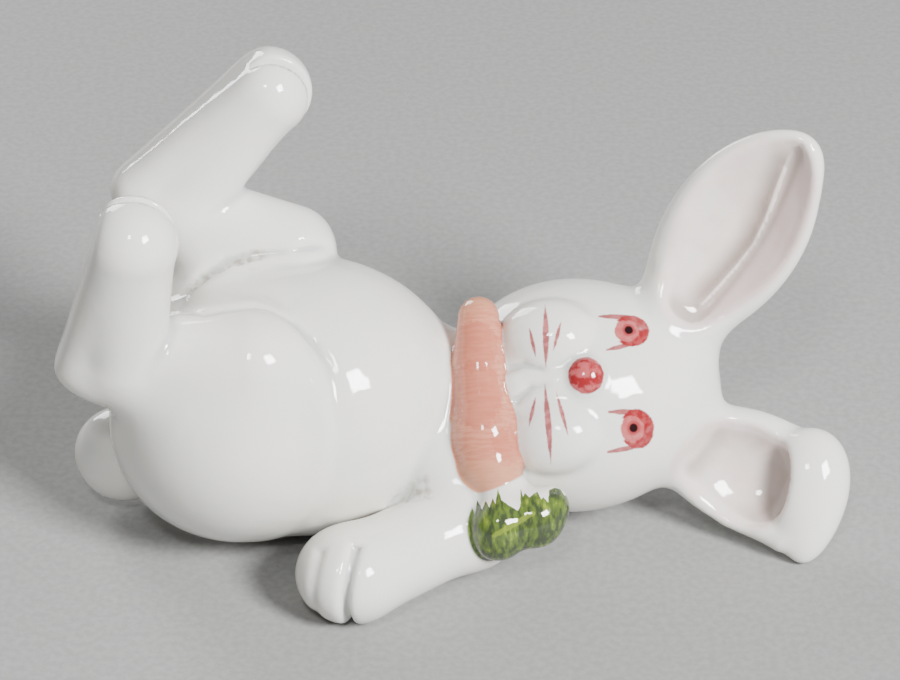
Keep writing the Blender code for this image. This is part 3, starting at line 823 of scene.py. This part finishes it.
def skin(clay, form):
    """The surface of a form, drawn onto it exactly."""
    spacing = clay.size("Spacing", SPACING)
    margin = Vector((BOX_MARGIN, BOX_MARGIN, BOX_MARGIN))
    low = (clay.low - margin) / 1000
    high = (clay.high + margin) / 1000
    low.z = -BOX_MARGIN / 1000
    depth = clay.number("MULTIPLY", form, -0.001)
    counts = clay.vector("DIVIDE", tuple((high - low) * 1000), clay.joined(spacing, spacing, spacing))
    block = clay.node("GeometryNodeVolumeCube", (depth, -1.0, low, high, *clay.split(counts)))
    drawn = clay.node("GeometryNodeVolumeToMesh", (block.outputs[0],))
    drawn.inputs["Threshold"].default_value = 0
    geometry = drawn.outputs[0]
    outward = clay.node("GeometryNodeInputNormal").outputs[0]
    for _ in range(3):
        moved = clay.node("GeometryNodeSetPosition", (geometry,))
        clay.feed(moved.inputs["Offset"], clay.scaled(outward, depth))
        geometry = moved.outputs[0]
    return geometry


def noted(clay, geometry, name, value):
    """The geometry with a value kept at each point for the painting."""
    kept = clay.node("GeometryNodeStoreNamedAttribute", (geometry, None, name), domain="POINT")
    clay.feed(kept.inputs["Value"], value)
    return kept.outputs[0]


def hollowness(clay):
    """Millimetres that a point lies below its surroundings, along the surface's normal."""
    place = clay.node("GeometryNodeInputPosition").outputs[0]
    blurred = clay.node("GeometryNodeBlurAttribute", data_type="FLOAT_VECTOR")
    blurred.inputs["Iterations"].default_value = HOLLOW_REACH
    value = next(s for s in blurred.inputs if s.type == "VECTOR")
    clay.feed(value, place)
    smooth = next(s for s in blurred.outputs if s.type == "VECTOR")
    outward = clay.node("GeometryNodeInputNormal").outputs[0]
    lift = clay.vector("DOT_PRODUCT", clay.vector("SUBTRACT", smooth, place), outward)
    return clay.number("MULTIPLY", lift, 1000)


def settle(clay, geometry):
    """Puts the middle of the box over the origin, and makes the seat flat."""
    box = clay.node("GeometryNodeBoundBox", (geometry,))
    both = clay.vector("ADD", box.outputs["Min"], box.outputs["Max"])
    shift = clay.vector("MULTIPLY", both, (-0.5, -0.5, 0))
    place = clay.node("GeometryNodeInputPosition").outputs[0]
    flat = clay.vector("MULTIPLY", place, (1, 1, 0))
    height = clay.split(place)[2]
    near = clay.node("FunctionNodeCompare", (height, SEAT_GAP / 1000), operation="LESS_THAN")
    geometry = clay.node("GeometryNodeSetPosition", (geometry, near.outputs[0], flat)).outputs[0]
    return clay.node("GeometryNodeSetPosition", (geometry, None, None, shift)).outputs[0]


def casting_tree(glaze):
    """The geometry tree of the whole casting, from its form to its glazed surface."""
    clay = Clay("rabbit_casting")
    clay.socket("Geometry", "Geometry", way="OUTPUT")
    form, gaps = figure(clay)
    geometry = skin(clay, form)
    for name, gap in gaps.items():
        geometry = noted(clay, geometry, name, gap)
    geometry = noted(clay, geometry, "hollow", hollowness(clay))
    geometry = settle(clay, geometry)
    geometry = clay.node("GeometryNodeSetShadeSmooth", (geometry,)).outputs[0]
    geometry = clay.node("GeometryNodeRealizeInstances", (geometry,)).outputs[0]
    painted = clay.node("GeometryNodeSetMaterial", (geometry, None, glaze)).outputs[0]
    clay.node("NodeGroupOutput", (painted,))
    return clay.tree


def cast(name, tree, sizes):
    """A plain mesh from a geometry tree, with its named sizes."""
    holder = bpy.data.objects.new(name, bpy.data.meshes.new(name))
    bpy.context.scene.collection.objects.link(holder)
    modifier = holder.modifiers.new(name, "NODES")
    modifier.node_group = tree
    for item in tree.interface.items_tree:
        if item.in_out == "INPUT":
            modifier[item.identifier] = float(sizes[item.name])
    graph = bpy.context.evaluated_depsgraph_get()
    mesh = bpy.data.meshes.new_from_object(holder.evaluated_get(graph))
    holder.modifiers.clear()
    holder.data = mesh
    return holder


# The glaze
# A clear gloss glaze covers the white clay and the painting. Its white turns a little warmer and
# brighter in random patches, and the creases are painted greyer, partly as pooled glaze and partly
# as painted shade. It was wiped off the ground seat. Dirt sits in two of the creases.

GLAZE_WHITE = shade(236, 236, 232)
GLAZE_POOL_AND_SHADE = shade(196, 200, 196)
GLAZE_THIN = shade(240, 238, 230)
BARE_CLAY = shade(226, 214, 196)
DIRT_BROWN = shade(126, 90, 50)
DIRT_STRENGTH = 0.6

# The ends of each dirty stretch in millimetres, with its reach to the sides.
DIRTY_CREASES = [
    ((-74, 1, 71), (-52, 7.4, 79), 3.6),
    ((-20, -33, 22), (-2, -30, 31), 6),
]


def paint_white(paint):
    cloud = paint.between(paint.noise(paint.place, 30), 0.3, 0.7)
    paint.colour = paint.mixed(cloud, GLAZE_WHITE, GLAZE_THIN)
    # The creases are painted greyer, as pooled glaze and as painted shade.
    pool_and_shade = paint.between(paint.attribute("hollow"), 0.04, 0.6)
    paint.lay(paint.number("MULTIPLY", pool_and_shade, 0.8), GLAZE_POOL_AND_SHADE)


def paint_dirt(paint):
    hollow = paint.between(paint.attribute("hollow"), 0.01, 0.2)
    specks = paint.between(paint.noise(paint.place, 1.8, 5), 0.35, 0.7)
    for start, end, width in DIRTY_CREASES:
        start, end = Vector(start), Vector(end)
        x, y, z = paint.split(paint.seen_from(aimed(start, end, (0, 0, 1))))
        beside = paint.vector("LENGTH", paint.joined(x, y, 0))
        near = paint.between(beside, width, width * 0.4)
        length = (end - start).length
        span = paint.all_of(paint.between(z, -2, 3), paint.between(z, length + 2, length - 3))
        dirt = paint.all_of(near, span, hollow, specks)
        paint.lay(paint.number("MULTIPLY", dirt, DIRT_STRENGTH), DIRT_BROWN)


def glaze_material():
    made = bpy.data.materials.new("painted_gloss_glaze")
    made.use_nodes = True
    paint = Paint(made.node_tree)
    shader = made.node_tree.nodes["Principled BSDF"]
    paint_white(paint)
    paint_ears(paint)
    paint_carrot(paint)
    paint_leaves(paint)
    paint_face(paint)
    paint_dirt(paint)
    seat = paint.between(paint.split(paint.place)[2], 0.35, 0.15)
    paint.lay(seat, BARE_CLAY)
    paint.feed(shader.inputs["Base Color"], paint.colour)
    smear = paint.between(paint.noise(paint.place, 12, 3), 0.3, 0.8, 0.05, 0.1)
    matt_seat = paint.number("MULTIPLY", seat, 0.6)
    paint.feed(shader.inputs["Roughness"], paint.number("ADD", smear, matt_seat))
    shader.inputs["IOR"].default_value = 1.5
    shader.inputs["Subsurface Weight"].default_value = 0.15
    shader.inputs["Subsurface Radius"].default_value = (1, 0.8, 0.6)
    shader.inputs["Subsurface Scale"].default_value = 0.003
    bump = paint.node("ShaderNodeBump")
    bump.inputs["Strength"].default_value = 0.25
    bump.inputs["Distance"].default_value = 0.0004
    paint.feed(bump.inputs["Height"], paint.noise(paint.place, 5, 1))
    paint.feed(shader.inputs["Normal"], bump.outputs[0])
    return made


sizes = {"Unevenness": UNEVENNESS, "Spacing": SPACING}
rabbit = cast("rabbit_figurine", casting_tree(glaze_material()), sizes)
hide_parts("rabbit")
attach(rabbit, "root")

# The table
# A plain pale table top, matt and a little mottled, which reaches past every view's edge.

TABLE_REACH = 2.0
TABLE_GREY = shade(156, 156, 155)
TABLE_SHADE = shade(146, 146, 145)


def table_top():
    mesh = bpy.data.meshes.new("table_top")
    ways = ((-1, -1), (1, -1), (1, 1), (-1, 1))
    corners = [(x * TABLE_REACH, y * TABLE_REACH, 0) for x, y in ways]
    mesh.from_pydata(corners, [], [(0, 1, 2, 3)])
    top = bpy.data.objects.new("table_top", mesh)
    bpy.context.scene.collection.objects.link(top)
    finish = bpy.data.materials.new("matt_table")
    finish.use_nodes = True
    paint = Paint(finish.node_tree)
    shader = finish.node_tree.nodes["Principled BSDF"]
    grain = paint.between(paint.noise(paint.place, 2, 6), 0.3, 0.7)
    paint.feed(shader.inputs["Base Color"], paint.mixed(grain, TABLE_SHADE, TABLE_GREY))
    shader.inputs["Roughness"].default_value = 0.8
    mesh.materials.append(finish)
    return top


table_top()

# The lights
# A window-like softbox at the front right, a smaller one above the viewer, and a large one behind
# the left shoulder give the glaze its bright, sharp-edged reflections.

# Each light's azimuth, elevation, width and height in metres, and power in watts.
LIGHTS = [
    ("window", 44, 37, 0.44, 0.46, 70),
    ("overhead", -8, 50, 0.22, 0.22, 10),
    ("back", -148, 23, 0.62, 1.0, 28),
]
LIGHT_DISTANCE = 1.7
AMBIENT = 0.035
MIDDLE = Vector((-0.0023, 0, 0.0557))


def way(azimuth, elevation):
    """A unit vector from the figure. Azimuth 0 is towards the viewer and 90 is to the right."""
    a, e = math.radians(azimuth), math.radians(elevation)
    return Vector((math.sin(a) * math.cos(e), -math.cos(a) * math.cos(e), math.sin(e)))


def look_along(obj, direction):
    obj.rotation_mode = "QUATERNION"
    obj.rotation_quaternion = direction.to_track_quat("-Z", "Y")


for name, azimuth, elevation, width, height, power in LIGHTS:
    light = bpy.data.lights.new(name, "AREA")
    light.shape = "RECTANGLE"
    light.size, light.size_y, light.energy = width, height, power
    lamp = bpy.data.objects.new(name, light)
    bpy.context.scene.collection.objects.link(lamp)
    lamp.location = MIDDLE + way(azimuth, elevation) * LIGHT_DISTANCE
    look_along(lamp, -way(azimuth, elevation))

world = bpy.data.worlds.new("room")
world.use_nodes = True
world.node_tree.nodes["Background"].inputs["Color"].default_value = (AMBIENT, AMBIENT, AMBIENT, 1)
bpy.context.scene.world = world

# The camera
# It looks down at the figure's side from a little under a metre, through a long lens.

CAMERA_ELEVATION = 35
CAMERA_DISTANCE = 0.9
CAMERA_LENS = 133
SENSOR_WIDTH = 36

camera = bpy.data.objects.new("camera", bpy.data.cameras.new("camera"))
bpy.context.scene.collection.objects.link(camera)
bpy.context.scene.camera = camera
camera.data.lens = CAMERA_LENS
camera.data.sensor_width = SENSOR_WIDTH
camera.location = MIDDLE + way(0, CAMERA_ELEVATION) * CAMERA_DISTANCE
look_along(camera, -way(0, CAMERA_ELEVATION))
